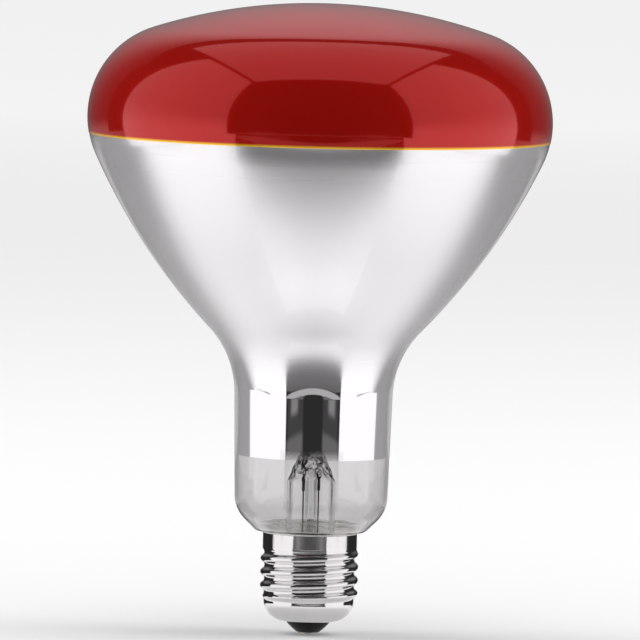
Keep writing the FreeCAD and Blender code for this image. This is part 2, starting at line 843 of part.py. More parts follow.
def outer_lead_side():
    """Copper lead from the right seal wire, under the skirt, up beside it and over the rim."""
    body = new_body("outer_lead_side")
    bend = s.outer_lead_bend
    low = exhaust_tip - s.side_lead_drop
    over = s.rim_height + s.rim_gap / 2
    outside = s.collar_radius + s.outer_lead_radius + s.clearance
    drawing = Drawing(body, "Route", (s.lead_spread, seal_wire_foot))
    drawing.line((s.lead_spread, low + bend))
    drawing.arc(
        (s.lead_spread + bend, low),
        ((s.lead_spread + bend).number, (low + bend).number),
        bend,
        LEFT_TURN,
        smooth=False,
    )
    drawing.line((side_lead_radius - bend, low))
    drawing.arc(
        (side_lead_radius, low + bend),
        ((side_lead_radius - bend).number, (low + bend).number),
        bend,
        LEFT_TURN,
        smooth=False,
    )
    drawing.line((side_lead_radius, over - s.rim_bend))
    drawing.arc(
        (side_lead_radius + s.rim_bend, over),
        ((side_lead_radius + s.rim_bend).number, (over - s.rim_bend).number),
        s.rim_bend,
        RIGHT_TURN,
        smooth=False,
    )
    drawing.line((outside - s.rim_bend, over))
    drawing.arc(
        (outside, over - s.rim_bend),
        ((outside - s.rim_bend).number, (over - s.rim_bend).number),
        s.rim_bend,
        RIGHT_TURN,
        smooth=False,
    )
    drawing.line((outside, s.rim_height - s.side_solder_drop))
    section = [(s.lead_spread, None, s.outer_lead_radius)]
    profile = circle_sketch(body, "Section", "XY_Plane", seal_wire_foot, section)
    pipe(body, drawing.finish(), profile)
    turn_about_axis(body, s.press_angle)
    return body


def filament():
    """The coiled wire as one round ring of its outer size, open towards the leads."""
    ring = doc.addObject("Part::Torus", "filament")
    ring.Label = "filament"
    end_gap = s.inner_lead_radius + s.filament_end_gap
    gap = end_gap / s.filament_ring_radius * math.degrees(1)
    bind(ring, "Radius1", s.filament_ring_radius)
    bind(ring, "Radius2", s.filament_coil_radius)
    ring.Angle1 = -180
    ring.Angle2 = 180
    bind(ring, "Angle3", 360 - s.filament_opening - 2 * gap, " * 1 deg")
    turn_about_axis(ring, s.press_angle + 90 + s.filament_opening / 2 + gap)
    bind(ring, "Placement.Base.z", filament_height)
    return ring


def filament_support(number):
    """Wire from the button, leaning up to the filament and hooked round it."""
    body = new_body(f"filament_support_{number + 1}")
    hook = s.filament_coil_radius + s.support_wire_radius + s.clearance
    bend_x = s.button_radius + s.support_straight
    middle = FreeCAD.Vector(bend_x.number, (support_height + s.support_bend).number, 0)
    ring = FreeCAD.Vector(s.filament_ring_radius.number, filament_height.number, 0)
    across = ring - middle
    slope = direction(across) - math.asin((hook.number - s.support_bend.number) / across.Length)
    aside = heading(slope - math.pi / 2)
    drawing = Drawing(body, "Route", (s.support_seat, support_height))
    drawing.line((bend_x, support_height))
    drawing.arc(xy(middle + aside * s.support_bend.number), xy(middle), s.support_bend, LEFT_TURN)
    drawing.line(xy(ring + aside * hook.number), smooth=True)
    drawing.arc(
        ((s.filament_ring_radius - hook).number, filament_height),
        (s.filament_ring_radius, filament_height.number),
        hook,
        LEFT_TURN,
    )
    section = [(None, support_height, s.support_wire_radius)]
    profile = circle_sketch(body, "Section", "YZ_Plane", s.support_seat, section)
    pipe(body, drawing.finish(), profile)
    turn_about_axis(body, s.press_angle - 90 + as_size(360 / SUPPORT_WIRES * number))
    return body


def knuckle(turns):
    """Height of the rolled thread, from 0 in a root to 1 on a crest, of equal tangent arcs."""
    half = float(s.thread_pitch) / 2
    depth = float(s.thread_crest_radius) - float(s.thread_root_radius)
    radius = (half**2 + depth**2) / (4 * depth)
    away = abs(turns - round(turns)) * 2 * half
    if away < half / 2:
        return 1 - (radius - math.sqrt(radius**2 - away**2)) / depth
    return (radius - math.sqrt(radius**2 - (half - away) ** 2)) / depth


def fade(distance):
    """Smooth run-out of the thread: 0 at its end, 1 once it has its full depth."""
    share = min(max(distance / float(s.thread_runout), 0), 1)
    return share * share * (3 - 2 * share)


def shell_radius(angle, height):
    """Outer radius of the shell between its rim and its bowl."""
    root_radius = float(s.thread_root_radius)
    turns = height / float(s.thread_pitch) - (angle + float(s.thread_angle)) / 360
    depth = (float(s.thread_crest_radius) - root_radius) * knuckle(turns)
    depth *= fade(height - bowl_centre_z.number)
    full = fade(collar_foot.number - height)
    return full * (root_radius + depth) + (1 - full) * float(s.collar_radius)


def shell_section(angle):
    """Section of the shell's outer face at one angle: (radius, height) from the rim to the lip."""
    spacing = float(s.thread_pitch) / SAMPLES_PER_PITCH
    length = float(s.rim_height) - bowl_centre_z.number
    steps = round(length / spacing)
    heights = [float(s.rim_height) - length * i / steps for i in range(steps)]
    wall = [(shell_radius(angle, height), height) for height in heights]
    lip_angle = -math.pi / 2 - math.asin(
        (bowl_centre_x.number - float(s.lip_radius)) / float(s.bowl_radius)
    )
    steps = round(-lip_angle * float(s.bowl_radius) / spacing)
    bowl = []
    for i in range(steps + 1):
        out = heading(lip_angle * i / steps) * float(s.bowl_radius)
        bowl.append((bowl_centre_x.number + out.x, bowl_centre_z.number + out.y))
    return wall + bowl


def inset_section(section, inset):
    """The same section moved into the metal, square to its own slope."""
    moved = []
    for i, (x, y) in enumerate(section):
        before = section[max(i - 1, 0)]
        after = section[min(i + 1, len(section) - 1)]
        along = FreeCAD.Vector(after[0] - before[0], after[1] - before[1], 0).normalize()
        moved.append((x + along.y * inset, y - along.x * inset))
    return moved


def smooth_curve(points, periodic):
    """Curve through evenly spaced points. A periodic one runs on to its first point again."""
    curve = Part.BSplineCurve()
    steps = len(points) + 1 if periodic else len(points)
    curve.interpolate(Points=points, PeriodicFlag=periodic, Parameters=list(range(steps)))
    return curve


def shell_face(inset):
    """One face of the sheet, right round the cap: smooth down each section and round each ring."""
    sections = []
    for i in range(SAMPLES_PER_TURN):
        angle = 360 * i / SAMPLES_PER_TURN
        out = heading(math.radians(angle))
        section = inset_section(shell_section(angle), inset)
        points = [FreeCAD.Vector(out.x * x, out.y * x, y) for x, y in section]
        sections.append(smooth_curve(points, periodic=False))
    rings = [
        smooth_curve(list(poles), periodic=True)
        for poles in zip(*[section.getPoles() for section in sections])
    ]
    surface = Part.BSplineSurface()
    surface.buildFromPolesMultsKnots(
        [list(poles) for poles in zip(*[ring.getPoles() for ring in rings])],
        rings[0].getMultiplicities(),
        sections[0].getMultiplicities(),
        rings[0].getKnots(),
        sections[0].getKnots(),
        True,
        False,
        rings[0].Degree,
        sections[0].Degree,
    )
    return surface.toShape()


def flat_edges(face):
    """The face's rings at the rim and at the lip, the higher one first."""
    rings = [edge for edge in face.Edges if edge.isClosed()]
    return sorted(rings, key=lambda edge: -edge.CenterOfMass.z)


def cap_shell():
    """Thin sheet rolled into a round-bottomed screw thread, closed in to a lip at its foot."""
    outer = shell_face(0)
    inner = shell_face(float(s.sheet_thickness))
    ends = [
        Part.makeRuledSurface(*pair) for pair in zip(flat_edges(outer), flat_edges(inner))
    ]
    shell = Part.Compound([outer, inner] + ends)
    shell.sewShape()
    solid = Part.Solid(shell.Shells[0])
    if solid.Volume < 0:
        solid.reverse()
    item = doc.addObject("Part::Feature", "cap_shell")
    item.Label = "cap_shell"
    item.Shape = solid
    return item


def cap_insulator():
    """Black glass in the bowl, domed out through the lip to the contact."""
    body = new_body("cap_insulator")
    neck = s.lip_radius - s.clearance
    inner = s.bowl_radius - s.sheet_thickness - s.clearance
    neck_x = neck - bowl_centre_x
    neck_y = bowl_centre_z - root(inner * inner - neck_x * neck_x)
    top_y = insulator_top - bowl_centre_z
    top_x = bowl_centre_x + root(inner * inner - top_y * top_y)
    dome = s.insulator_dome
    face = FreeCAD.Vector(s.insulator_face_radius.number, insulator_face.number, 0)
    lip = FreeCAD.Vector(neck.number, s.lip_height.number, 0)
    half = (lip - face) / 2
    left = FreeCAD.Vector(-half.y, half.x, 0).normalize()
    middle = face + half + left * math.sqrt(dome.number**2 - half.Length**2)
    drawing = Drawing(body, "Glass", (s.rivet_radius, insulator_face))
    drawing.line((s.insulator_face_radius, insulator_face))
    drawing.arc((neck, s.lip_height), xy(middle), dome, LEFT_TURN, smooth=False)
    drawing.line((neck, neck_y))
    bowl_middle = (bowl_centre_x.number, bowl_centre_z.number)
    drawing.arc((top_x, insulator_top), bowl_middle, inner, LEFT_TURN, smooth=False)
    drawing.line((s.rivet_radius, insulator_top))
    revolve(body, drawing.close())
    return body


def centre_contact():
    """Disc under the insulator, held by a hollow rivet clenched over the glass."""
    body = new_body("centre_contact")
    bore = s.rivet_radius - s.rivet_wall
    drawing = Drawing(body, "Disc", (bore, s.solder_height))
    drawing.line((s.contact_radius, s.solder_height))
    drawing.line((s.contact_radius, insulator_face))
    drawing.line((s.rivet_radius, insulator_face))
    drawing.line((s.rivet_radius, insulator_top))
    drawing.line((s.rivet_head_radius, insulator_top))
    drawing.line((s.rivet_head_radius, insulator_top + s.rivet_wall))
    drawing.line((bore, insulator_top + s.rivet_wall))
    revolve(body, drawing.close())
    return body


def centre_solder():
    """Solder that fills the rivet's mouth round the lead and stands flat at its tip."""
    body = new_body("centre_solder")
    bore = s.rivet_radius - s.rivet_wall
    drawing = Drawing(body, "Drop", (None, as_size(0)))
    drawing.line((s.solder_tip_radius, as_size(0)))
    drawing.line((s.solder_foot_radius, s.solder_height))
    drawing.line((bore, s.solder_height))
    drawing.line((bore, s.solder_height + s.solder_depth))
    drawing.line((s.outer_lead_radius, s.solder_height + s.solder_depth))
    drawing.line((s.outer_lead_radius, s.solder_height))
    drawing.line((None, s.solder_height))
    revolve(body, drawing.close())
    return body


def cut(label, base, tool):
    item = doc.addObject("Part::Cut", label)
    item.Label = label
    item.Base = base
    item.Tool = tool
    return item


def capping_cement(side_lead):
    """Ring that fills the collar round the skirt, set about the side lead."""
    body = new_body("cement_ring")
    outer = s.collar_radius - s.sheet_thickness
    foot = s.rim_height - s.cement_depth
    fillet_y = seat_height - s.skirt_fillet
    fillet_x = s.skirt_radius + s.skirt_fillet
    drawing = Drawing(body, "Ring", (s.skirt_radius, foot))
    drawing.line((outer, foot))
    drawing.line((outer, seat_height))
    drawing.line((fillet_x, seat_height))
    drawing.arc(
        (s.skirt_radius, fillet_y),
        (fillet_x.number, fillet_y.number),
        s.skirt_fillet,
        LEFT_TURN,
        smooth=False,
    )
    revolve(body, drawing.close())
    return cut("capping_cement", body, side_lead)


def side_solder(side_lead):
    """Blob on the collar that joins the side lead to the shell."""
    blob = doc.addObject("Part::Sphere", "blob")
    blob.Label = "solder_blob"
    middle = s.collar_radius + s.side_solder_bulge - s.side_solder_radius
    bind(blob, "Radius", s.side_solder_radius)
    bind(blob, "Placement.Base.x", middle * cosine(s.press_angle))
    bind(blob, "Placement.Base.y", middle * sine(s.press_angle))
    bind(blob, "Placement.Base.z", s.rim_height - s.side_solder_drop)
    collar = doc.addObject("Part::Cylinder", "collar")
    collar.Label = "collar_seat"
    bind(collar, "Radius", s.collar_radius)
    bind(collar, "Height", s.rim_height + s.rim_gap)
    on_collar = cut("solder_on_collar", blob, collar)
    return cut("side_solder", on_collar, side_lead)


def build():
    """Every piece of the lamp, as the objects whose shapes are the finished pieces."""
    side_lead = outer_lead_side()
    pieces = [
        glass_envelope(),
        reflector_coating(),
        red_filter_coating(),
        stem_tube(),
        exhaust_tube(),
        support_rod(),
        straight_wire(
            "seal_wire_left", -s.lead_spread, seal_wire_foot, seal_wire_top, s.seal_wire_radius
        ),
        straight_wire(
            "seal_wire_right", s.lead_spread, seal_wire_foot, seal_wire_top, s.seal_wire_radius
        ),
        inner_lead("inner_lead_left", -s.lead_spread, 90 + s.filament_opening / 2),
        inner_lead("inner_lead_right", s.lead_spread, filament_end_angle),
        outer_lead_centre(),
        side_lead,
        filament(),
        cap_shell(),
        cap_insulator(),
        centre_contact(),
        centre_solder(),
        side_solder(side_lead),
        capping_cement(side_lead),
    ]
    return pieces + [filament_support(number) for number in range(SUPPORT_WIRES)]


def check_and_write(pieces):
    """Stop on any object that failed, then write each piece's file."""
    failed = [item for item in doc.Objects if {"Invalid", "Error"} & set(item.State)]
    if failed:
        raise RuntimeError("failed: " + ", ".join(item.Label for item in failed))
    os.makedirs("parts", exist_ok=True)
    for piece in pieces:
        shape = piece.Shape
        if shape.isNull() or not shape.isValid() or len(shape.Solids) != 1:
            raise RuntimeError(f"{piece.Label} has no sound solid")
        shape.exportStep(f"parts/{piece.Label}.step")
        print(f"{piece.Label}: {shape.Volume:.2f} mm3")


pieces = build()
doc.recompute()
check_and_write(pieces)
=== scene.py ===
import json
import math

import bmesh
import bpy
from mathutils import Matrix, Vector, noise


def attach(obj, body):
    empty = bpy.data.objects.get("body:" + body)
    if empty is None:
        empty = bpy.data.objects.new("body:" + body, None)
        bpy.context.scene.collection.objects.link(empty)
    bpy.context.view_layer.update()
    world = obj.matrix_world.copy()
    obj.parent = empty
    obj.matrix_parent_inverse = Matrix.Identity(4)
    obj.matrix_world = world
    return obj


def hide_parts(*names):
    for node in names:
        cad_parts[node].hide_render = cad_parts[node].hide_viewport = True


MM = 0.001
ROUND = 2 * math.pi

# Bulb, in millimetres: the same sizes that its solids are drawn from
BULB_RADIUS = 62.5
OVERALL_LENGTH = 170.0
SKIN = 0.1
GLASS_WALL = 1.0
DOME_RISE = 31.2
SHOULDER_RADIUS = 25.0
FLANK_RADIUS = 171.0
THROAT_RADIUS = 26.0
THROAT_HEIGHT = 36.9
NECK_RADIUS = 21.3
NECK_TAPER = math.radians(1.5)
CORNER_RADIUS = 9.0
CORNER_HEIGHT = 10.0
CORNER_SLOPE = math.radians(45)
UNDER_NECK_RADIUS = 1.6
SKIRT_RADIUS = 11.0
SKIRT_LENGTH = 9.0
SKIRT_FILLET = 0.8
RIM_HEIGHT = 27.5
RIM_GAP = 0.5
SEAT_HEIGHT = RIM_HEIGHT + RIM_GAP
SKIRT_FOOT = SEAT_HEIGHT - SKIRT_LENGTH
RED_EDGE_DROP = 4.8
MIRROR_EDGE_DROP = 3.8
CLEAR_NECK_HEIGHT = 21.0
FACE_GAP = 0.01
STEM_RADIUS = 6.5
STEM_WALL = 1.0
PRESS_ROOT = 41.5
PRESS_TOP = 50.9
PRESS_TURN = math.radians(38)
CROWN_WIDTH, CROWN_THICKNESS = 6.0, 3.2
CROWN_HOLLOW_TOP = 47.4
CROWN_LEAST_RADIUS = 0.2
CRUMPLE_DEPTH = 0.42
CRUMPLE_SIZE = 1.5
CRUMPLE_START, CRUMPLE_RISE = 0.6, 2.4
FINER_FOLDS, FINER_SHARE = 2.3, 0.5
INNER_FOLDS = 40  # moves the noise of the inner face, so that it folds in its own way

# Cap, in millimetres
COLLAR_RADIUS = 12.7
COLLAR_HEIGHT = 3.6
SHEET_THICKNESS = 0.25
CREST_RADIUS = 13.2
ROOT_RADIUS = 12.13
THREAD_PITCH = 3.629
THREAD_RUNOUT = 2.4
THREAD_TURN = 47.0 / 360
BOWL_RADIUS = 5.5
LIP_RADIUS = 6.2
LIP_HEIGHT = 3.75

# Fineness of the meshes
AROUND = 180
OUTLINE_STEP = 1.6
LEAST_ARC_STEPS = 6
STRAIGHT, STRAIGHT_END = 2.5, 0.2
STEM_AROUND = 120
STEM_STEP = 0.3
BEND_STEPS = 10
CAP_AROUND = 240
CAP_STEP = 0.22
CREASE = math.radians(35)
SAME_POINT = 1e-4
ON_AXIS = 1e-6
PIN = 0.01  # radius of the rings that close the stem

# Camera: the photograph's scale, tilt and view. Its distance and clipping are metres.
PIXELS_PER_MM = 3.72
FRAME_PIXELS = 640
CAMERA_DISTANCE = 2.5
CLIP_START, CLIP_END = 0.01, 100
CAMERA_ELEVATION = math.radians(3.9)
CAMERA_ROLL = math.radians(1.4)
CAMERA_TARGET = Vector((1.27, 0, 84.9)) * MM


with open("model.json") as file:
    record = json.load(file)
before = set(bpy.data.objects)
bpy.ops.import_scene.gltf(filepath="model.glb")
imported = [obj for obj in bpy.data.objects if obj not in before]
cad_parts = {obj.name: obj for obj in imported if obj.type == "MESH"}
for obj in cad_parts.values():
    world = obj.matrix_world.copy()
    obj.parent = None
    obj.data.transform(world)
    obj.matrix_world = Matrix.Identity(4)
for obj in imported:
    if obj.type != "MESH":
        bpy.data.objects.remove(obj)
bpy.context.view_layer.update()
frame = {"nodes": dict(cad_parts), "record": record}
nodes = frame["nodes"]


def heading(angle):
    return Vector((math.cos(angle), math.sin(angle)))


def angle_of(vector):
    return math.atan2(vector.y, vector.x)


def share_of(value, low, high):
    """0 below a range, 1 above it, and a straight rise in between."""
    return min(max((value - low) / (high - low), 0), 1)


def ramp(value, low, high):
    """0 below a range, 1 above it, and a soft rise in between."""
    share = share_of(value, low, high)
    return share * share * (3 - 2 * share)


class Arc:
    """Part of the bulb's outline: its centre, its radius and the normals it turns through.

    The radius is negative where the outline is hollow, so one formula gives every inset face.
    """

    def __init__(self, centre, radius, start, end):
        self.centre = centre
        self.radius = radius
        self.start = start
        self.end = end

    def point(self, angle, inset):
        return self.centre + heading(angle) * (self.radius - inset)

    def points(self, inset, start=None, end=None):
        start = self.start if start is None else start
        end = self.end if end is None else end
        length = abs(end - start) * abs(self.radius)
        steps = max(LEAST_ARC_STEPS, math.ceil(length / OUTLINE_STEP))
        angles = [start + (end - start) * i / steps for i in range(steps + 1)]
        return [self.point(angle, inset) for angle in angles]


def bulb_outline():
    """The bulb's arcs from the skirt's fillet up to the dome, each tangent to the next."""
    glass_radius = BULB_RADIUS - SKIN
    glass_top = OVERALL_LENGTH - SKIN
    equator = OVERALL_LENGTH - DOME_RISE
    shoulder = Vector((glass_radius - SHOULDER_RADIUS, equator))
    throat = Vector((NECK_RADIUS + THROAT_RADIUS, RIM_HEIGHT + THROAT_HEIGHT))
    rise = glass_top - equator
    dome_radius = shoulder.x**2 + rise**2 - SHOULDER_RADIUS**2
    dome_radius /= 2 * (rise - SHOULDER_RADIUS)
    dome = Vector((0, glass_top - dome_radius))

    to_shoulder = FLANK_RADIUS - SHOULDER_RADIUS
    to_throat = FLANK_RADIUS + THROAT_RADIUS
    across = throat - shoulder
    span = across.length
    along = (to_shoulder**2 - to_throat**2 + span**2) / (2 * span)
    unit = across / span
    aside = Vector((unit.y, -unit.x)) * math.sqrt(to_shoulder**2 - along**2)
    flank = shoulder + unit * along + aside

    neck_normal = heading(-NECK_TAPER)
    corner_y = RIM_HEIGHT + CORNER_HEIGHT
    reach = throat.dot(neck_normal) - THROAT_RADIUS - CORNER_RADIUS
    corner = Vector(((reach - corner_y * neck_normal.y) / neck_normal.x, corner_y))
    slope_normal = heading(CORNER_SLOPE - math.pi / 2)
    under_y = SEAT_HEIGHT + UNDER_NECK_RADIUS
    reach = corner.dot(slope_normal) + CORNER_RADIUS - UNDER_NECK_RADIUS
    under = Vector(((reach - under_y * slope_normal.y) / slope_normal.x, under_y))

    low = angle_of(throat - flank)
    middle = angle_of(shoulder - flank)
    high = angle_of(shoulder - dome)
    down = -math.pi / 2
    slope = CORNER_SLOPE - math.pi / 2
    fillet = Vector((SKIRT_RADIUS + SKIRT_FILLET, SEAT_HEIGHT - SKIRT_FILLET))
    return {
        "fillet": Arc(fillet, -SKIRT_FILLET, 0, down),
        "under": Arc(under, UNDER_NECK_RADIUS, down, slope),
        "corner": Arc(corner, CORNER_RADIUS, slope, -NECK_TAPER),
        "throat": Arc(throat, -THROAT_RADIUS, -NECK_TAPER, low),
        "flank": Arc(flank, FLANK_RADIUS, low, middle),
        "shoulder": Arc(shoulder, SHOULDER_RADIUS, middle, high),
        "dome": Arc(dome, dome_radius, high, math.pi / 2),
    }


OUTLINE = bulb_outline()
EQUATOR = OUTLINE["shoulder"].centre.y
RED_EDGE = EQUATOR - RED_EDGE_DROP
MIRROR_TOP = EQUATOR - MIRROR_EDGE_DROP
MIRROR_FOOT = RIM_HEIGHT + CLEAR_NECK_HEIGHT
THROAT_FOOT = OUTLINE["throat"].point(OUTLINE["throat"].start, GLASS_WALL).y


def shoulder_angle(height, inset):
    """The shoulder's normal where its face lies at a height."""
    shoulder = OUTLINE["shoulder"]
    return math.asin((height - shoulder.centre.y) / (shoulder.radius - inset))


def glass_face(inset):
    """From the foot of the skirt in the cap up to the top of the dome."""
    points = [Vector((SKIRT_RADIUS - inset, SKIRT_FOOT))]
    for arc in OUTLINE.values():
        points += arc.points(inset)
    return points


def mirror_face(inset):
    """From the film's foot in the neck up to its edge under the widest ring."""
    neck_end = OUTLINE["throat"].point(-NECK_TAPER, inset)
    foot_x = neck_end.x - (neck_end.y - MIRROR_FOOT) * math.tan(NECK_TAPER)
    top = shoulder_angle(MIRROR_TOP, inset)
    return (
        [Vector((foot_x, MIRROR_FOOT))]
        + OUTLINE["throat"].points(inset)
        + OUTLINE["flank"].points(inset)
        + OUTLINE["shoulder"].points(inset, end=top)
    )


def red_face(inset):
    """From the red's edge under the widest ring up to the top of the dome."""
    start = shoulder_angle(RED_EDGE, inset)
    return OUTLINE["shoulder"].points(inset, start=start) + OUTLINE["dome"].points(inset)


def tidy(points):
    """The points without repeats, which tangent arcs leave where they meet."""
    kept = [points[0]]
    for point in points[1:]:
        if (point - kept[-1]).length > SAME_POINT:
            kept.append(point)
    return kept


def with_straights(points):
    """The points, and more along each straight part, so that its shading stays straight too."""
    filled = [points[0]]
    for first, last in zip(points, points[1:]):
        length = (last - first).length
        if length > STRAIGHT:
            between = length - 2 * STRAIGHT_END
            count = math.ceil(between / STRAIGHT)
            ways = [STRAIGHT_END + between * i / count for i in range(count + 1)]
            filled += [first.lerp(last, way / length) for way in ways]
        filled.append(last)
    return filled


def mesh_piece(name, vertices, faces):
    """A smooth piece, given in millimetres, with sharp edges where it turns by a crease."""
    mesh = bpy.data.meshes.new(name)
    mesh.from_pydata([Vector(v) * MM for v in vertices], [], faces)
    mesh.validate()
    work = bmesh.new()
    work.from_mesh(mesh)
    bmesh.ops.recalc_face_normals(work, faces=work.faces)
    for face in work.faces:
        face.smooth = True
    for edge in work.edges:
        if len(edge.link_faces) == 2 and edge.calc_face_angle() > CREASE:
            edge.smooth = False
    work.to_mesh(mesh)
    work.free()
    piece = bpy.data.objects.new(name, mesh)
    bpy.context.scene.collection.objects.link(piece)
    return piece


def ring_faces(rings):
    """Faces that join each ring of vertices to the next, and the last to the first."""
    faces = []
    for lower, upper in zip(rings, rings[1:] + rings[:1]):
        for i, here in enumerate(lower):
            j = (i + 1) % len(lower)
            corners = list(dict.fromkeys((here, lower[j], upper[j], upper[i])))
            if len(corners) > 2:
                faces.append(corners)
    return faces


def turned(name, outer, inner):
    """A turned shell between two faces, each given from its foot up, (radius, height)."""
    loop = with_straights(tidy(outer)) + with_straights(tidy(inner))[::-1]
    vertices = []
    rings = []
    for radius, height in loop:
        if radius < ON_AXIS:
            rings.append([len(vertices)] * AROUND)
            vertices.append((0, 0, height))
            continue
        rings.append(list(range(len(vertices), len(vertices) + AROUND)))
        for i in range(AROUND):
            out = heading(ROUND * i / AROUND) * radius
            vertices.append((out.x, out.y, height))
    return mesh_piece(name, vertices, ring_faces(rings))


def crown_radius(angle, height, wall):
    """The pinched end of the stem: a round tube that narrows to a flat, crumpled crown."""
    share = share_of(height, PRESS_ROOT, PRESS_TOP)
    wide, thin = CROWN_WIDTH / 2, CROWN_THICKNESS / 2
    turn = angle - PRESS_TURN
    flat = wide * thin / math.hypot(thin * math.cos(turn), wide * math.sin(turn))
    radius = STEM_RADIUS + (flat - STEM_RADIUS) * share - wall
    level = height + INNER_FOLDS * wall
    place = Vector((math.cos(angle) * radius, math.sin(angle) * radius, level)) / CRUMPLE_SIZE
    folds = noise.noise(place) + FINER_SHARE * noise.noise(place * FINER_FOLDS)
    pinched = min(max((height - PRESS_ROOT - CRUMPLE_START) / CRUMPLE_RISE, 0), 1)
    return max(radius + CRUMPLE_DEPTH * pinched * folds, CROWN_LEAST_RADIUS)


def stem_piece():
    """Flare, tube and the crumpled press, which is hollow up to where the glass is fused."""
    lowest = SKIRT_FOOT + SKIRT_RADIUS - GLASS_WALL - STEM_RADIUS
    bend = Vector((SKIRT_RADIUS - GLASS_WALL, lowest))
    tight = bend.x - STEM_RADIUS
    ways = [heading(math.pi + math.pi / 2 * i / BEND_STEPS) for i in range(BEND_STEPS + 1)]
    outer = [bend + way * tight for way in reversed(ways)]
    inner = [bend + way * (tight + STEM_WALL) for way in ways]
    foot = [Vector((SKIRT_RADIUS, SKIRT_FOOT - STEM_WALL)), Vector((SKIRT_RADIUS, SKIRT_FOOT))]
    steps = round((PRESS_TOP - PRESS_ROOT) / STEM_STEP)
    crown = [PRESS_ROOT + STEM_STEP * i for i in range(steps + 1)]
    hollow = [height for height in reversed(crown) if height <= CROWN_HOLLOW_TOP]
    # Each ring is a height with either a radius or the wall that the crown has outside it
    rings = [(point.y, point.x, None) for point in foot + outer]
    rings += [(height, None, 0) for height in crown]
    rings += [(PRESS_TOP, 0, None), (hollow[0], 0, None)]
    rings += [(height, None, STEM_WALL) for height in hollow]
    rings += [(point.y, point.x, None) for point in inner]
    vertices = []
    loops = []
    for height, radius, wall in rings:
        loops.append(list(range(len(vertices), len(vertices) + STEM_AROUND)))
        for i in range(STEM_AROUND):
            angle = ROUND * i / STEM_AROUND
            reach = crown_radius(angle, height, wall) if radius is None else max(radius, PIN)
            vertices.append((math.cos(angle) * reach, math.sin(angle) * reach, height))
    return mesh_piece("stem", vertices, ring_faces(loops))


def knuckle(turns):
    """Height of the rolled thread, from 0 in a root to 1 on a crest, of equal tangent arcs."""
    half = THREAD_PITCH / 2
    depth = CREST_RADIUS - ROOT_RADIUS
    radius = (half**2 + depth**2) / (4 * depth)
    away = abs(turns - round(turns)) * 2 * half
    if away < half / 2:
        return 1 - (radius - math.sqrt(radius**2 - away**2)) / depth
    return (radius - math.sqrt(radius**2 - (half - away) ** 2)) / depth


def fade(distance):
    """Smooth run-out of the thread: 0 at its end, 1 once it has its full depth."""
    return ramp(distance, 0, THREAD_RUNOUT)


BOWL_CENTRE_X = ROOT_RADIUS - BOWL_RADIUS
BOWL_CENTRE_Z = LIP_HEIGHT + math.sqrt(BOWL_RADIUS**2 - (BOWL_CENTRE_X - LIP_RADIUS) ** 2)


def shell_radius(turn, height):
    """Outer radius of the cap between its rim and its bowl, at a turn from 0 to 1."""
    turns = height / THREAD_PITCH - turn - THREAD_TURN
    depth = (CREST_RADIUS - ROOT_RADIUS) * knuckle(turns) * fade(height - BOWL_CENTRE_Z)
    full = fade(RIM_HEIGHT - COLLAR_HEIGHT - height)
    return full * (ROOT_RADIUS + depth) + (1 - full) * COLLAR_RADIUS


def shell_section(turn):
    """Outer face of the cap at one turn, (radius, height) from the rim to the lip."""
    length = RIM_HEIGHT - BOWL_CENTRE_Z
    steps = round(length / CAP_STEP)
    heights = [RIM_HEIGHT - length * i / steps for i in range(steps)]
    wall = [Vector((shell_radius(turn, height), height)) for height in heights]
    lip_angle = -math.pi / 2 - math.asin((BOWL_CENTRE_X - LIP_RADIUS) / BOWL_RADIUS)
    steps = round(-lip_angle * BOWL_RADIUS / CAP_STEP)
    middle = Vector((BOWL_CENTRE_X, BOWL_CENTRE_Z))
    bowl = [heading(lip_angle * i / steps) * BOWL_RADIUS for i in range(steps + 1)]
    return wall + [middle + way for way in bowl]


def inset_section(section, inset):
    """The section moved into the sheet, square to its own slope."""
    moved = []
    for i, point in enumerate(section):
        along = section[min(i + 1, len(section) - 1)] - section[max(i - 1, 0)]
        along.normalize()
        moved.append(point + Vector((along.y, -along.x)) * inset)
    return moved


def cap_piece():
    """The rolled sheet of the cap, both faces, with the thread turning round it."""
    vertices = []
    count = 0
    for i in range(CAP_AROUND):
        section = shell_section(i / CAP_AROUND)
        loop = section + inset_section(section, SHEET_THICKNESS)[::-1]
        count = len(loop)
        out = heading(ROUND * i / CAP_AROUND)
        vertices += [(out.x * radius, out.y * radius, height) for radius, height in loop]
    faces = []
    for i in range(CAP_AROUND):
        here = i * count
        there = (i + 1) % CAP_AROUND * count
        for k in range(count):
            after = (k + 1) % count
            faces.append((here + k, here + after, there + after, there + k))
    return mesh_piece("cap_sheet", vertices, faces)


